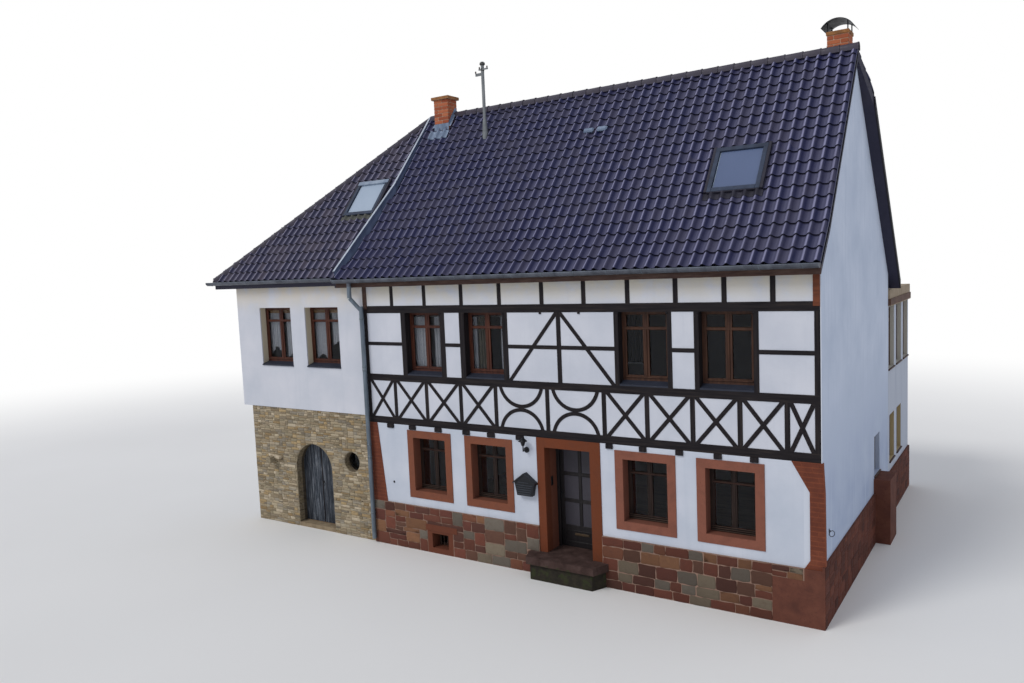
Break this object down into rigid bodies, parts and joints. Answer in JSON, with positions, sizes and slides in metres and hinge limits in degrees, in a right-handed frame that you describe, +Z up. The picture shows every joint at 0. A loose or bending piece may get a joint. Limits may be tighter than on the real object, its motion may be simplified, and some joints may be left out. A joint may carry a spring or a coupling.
{
  "type": "half timbered house",
  "caption": "Half timbered house on a stone storey with a steep tiled roof, a hipped stone and plaster side house with an arched doorway, and a flat roofed back.",
  "frame": {"origin": "foot of the timbered front's left corner, on the lowest ground", "axes": "+X to the right along the front, +Y to the back, +Z up; the front lies in the plane Y = 0"},
  "size_m": [15.4962, 10.295, 11.0308],
  "materials": {
    "rubble_stone": null,
    "white_plaster": "matte lime plaster",
    "orange_sandstone": "worn sandstone",
    "dark_sandstone": "worn sandstone",
    "dark_door_wood": "dark satin paint",
    "pink_sandstone": "fine sandstone",
    "brown_window_wood": "satin stain",
    "window_glass": "clear",
    "red_masonry_paint": "matte paint",
    "dark_timber": "matte dark stain",
    "brown_boards": "matte stain",
    "grey_render": "matte render",
    "floor_boards": "plain boards",
    "dark_glazed_tiles": "glazed tile",
    "ridge_tiles": "weathered tile",
    "zinc_sheet": "weathered zinc",
    "grey_metal_frame": "satin paint",
    "orange_brick": "brick",
    "dark_sheet": "matte paint",
    "grey_steel": "galvanised",
    "ochre_rubble": "thin coursed rubble",
    "blue_grey_planks": "weathered paint",
    "tan_roof_edge": "matte"
  },
  "bodies": {
    "house": {"front_plinth": "rubble_stone", "front_wall_left": "white_plaster", "front_wall_right": "white_plaster", "door_head_wall": "white_plaster", "door_surround": "orange_sandstone", "door_step": "dark_sandstone", "window_surrounds": "pink_sandstone", "lower_windows": "brown_window_wood", "upper_windows": "brown_window_wood", "window_glass": "window_glass", "corner_pilasters": "red_masonry_paint", "frame_rails": "dark_timber", "frame_posts": "dark_timber", "joist_ends": "dark_timber", "parapet_braces": "dark_timber", "long_braces": "dark_timber", "infill_panels": "white_plaster", "trim_boards": "brown_boards", "gable_wall": "grey_render", "gable_plinth": "red_masonry_paint", "party_wall": "grey_render", "rear_wall": "grey_render", "floors": "floor_boards", "roof_front": "dark_glazed_tiles", "roof_rear": "dark_glazed_tiles", "side_roof": "dark_glazed_tiles", "ridge_caps": "ridge_tiles", "roof_flashing": "zinc_sheet", "roof_windows": "grey_metal_frame", "chimneys": "orange_brick", "chimney_cap": "dark_sheet", "service_mast": "grey_steel", "rainwater_pipes": "zinc_sheet", "side_stone_front": "ochre_rubble", "side_arch_head": "ochre_rubble", "side_upper_wall": "white_plaster", "side_back_walls": "grey_render", "extension_walls": "grey_render", "extension_roof": "tan_roof_edge", "extension_windows": "brown_window_wood", "letter_box": "dark_sheet", "wall_lamp": "dark_sheet"},
    "front_door": {"front_door": "dark_door_wood"},
    "arch_door_left": {"arch_door_left": "blue_grey_planks"},
    "arch_door_right": {"arch_door_right": "blue_grey_planks"}
  },
  "joints": [
    {"name": "front_door_hinge", "type": "hinge", "parent": "house", "child": "front_door", "pos_m": [5.691, 0.5523, 1.555], "axis": [0, 0, -1], "range_deg": [0, 90]},
    {"name": "arch_door_left_hinge", "type": "hinge", "parent": "house", "child": "arch_door_left", "pos_m": [-2.612, 0.2603, 0.8], "axis": [0, 0, 1], "range_deg": [0, 95]},
    {"name": "arch_door_right_hinge", "type": "hinge", "parent": "house", "child": "arch_door_right", "pos_m": [-1.288, 0.2603, 0.8], "axis": [0, 0, -1], "range_deg": [0, 95]}
  ]
}
